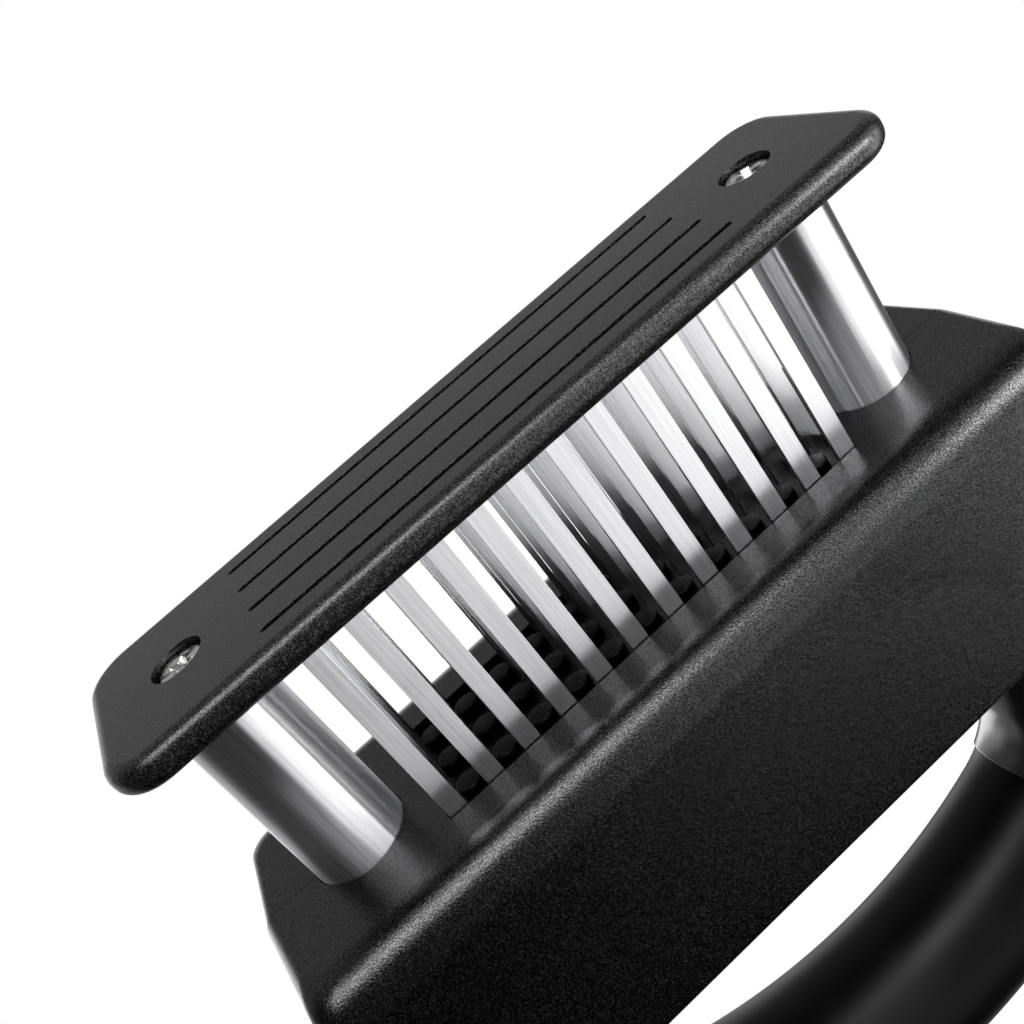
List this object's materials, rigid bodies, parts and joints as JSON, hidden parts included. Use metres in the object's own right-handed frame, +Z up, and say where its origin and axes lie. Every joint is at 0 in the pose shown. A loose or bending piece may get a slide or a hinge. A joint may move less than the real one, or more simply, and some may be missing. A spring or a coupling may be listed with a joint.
{
  "type": "blade meat tenderizer",
  "caption": "Handheld blade meat tenderizer: arched soft grip on a boxy housing, a block of flat blades, and a sprung slotted foot plate that slides up on steel columns.",
  "frame": {"origin": "middle of the foot plate's underside, the face that rests on the meat or the table", "axes": "+X along the foot plate and the rows of blades, +Z up through the handle's arch, -Y the front"},
  "size_m": [0.1512, 0.05, 0.1634],
  "materials": {
    "black_plastic": "fine-grained matte moulding",
    "foot_plastic": "fine-grained matte moulding with rounded edges",
    "comb_plastic": "plain matte moulding",
    "soft_grip": "smooth soft-touch",
    "grey_plastic": "satin grey moulding",
    "column_steel": "ground stainless tube",
    "blade_steel": "bright ground stainless",
    "screw_chrome": "bright plated, cross recess",
    "spring_steel": "drawn stainless wire",
    "plate_steel": "plain turned or stamped stainless",
    "bush_plastic": "natural acetal"
  },
  "bodies": {
    "housing": {"spring_left": "spring_steel", "spring_right": "spring_steel", "spring_seats": "bush_plastic", "guide_bush_left": "bush_plastic", "guide_bush_right": "bush_plastic", "front_shell": "black_plastic", "rear_shell": "black_plastic", "blade_comb": "comb_plastic", "blade_row_1": "blade_steel", "blade_row_2": "blade_steel", "blade_row_3": "blade_steel", "blade_row_4": "blade_steel", "clamp_plate": "plate_steel", "clamp_screws": "screw_chrome", "handle_frame": "grey_plastic", "grip": "soft_grip", "shell_screws": "screw_chrome"},
    "foot": {"foot_plate": "foot_plastic", "foot_screws": "screw_chrome", "column_left": "column_steel", "column_right": "column_steel", "column_plugs": "plate_steel", "retaining_rings": "spring_steel"}
  },
  "joints": [
    {"name": "press", "type": "slide", "parent": "housing", "child": "foot", "axis": [0, 0, 1], "range_m": [0, 0.032], "stiffness_N_per_m": 1200, "springref_m": -0.015, "deforming": ["spring_left", "spring_right"]}
  ]
}
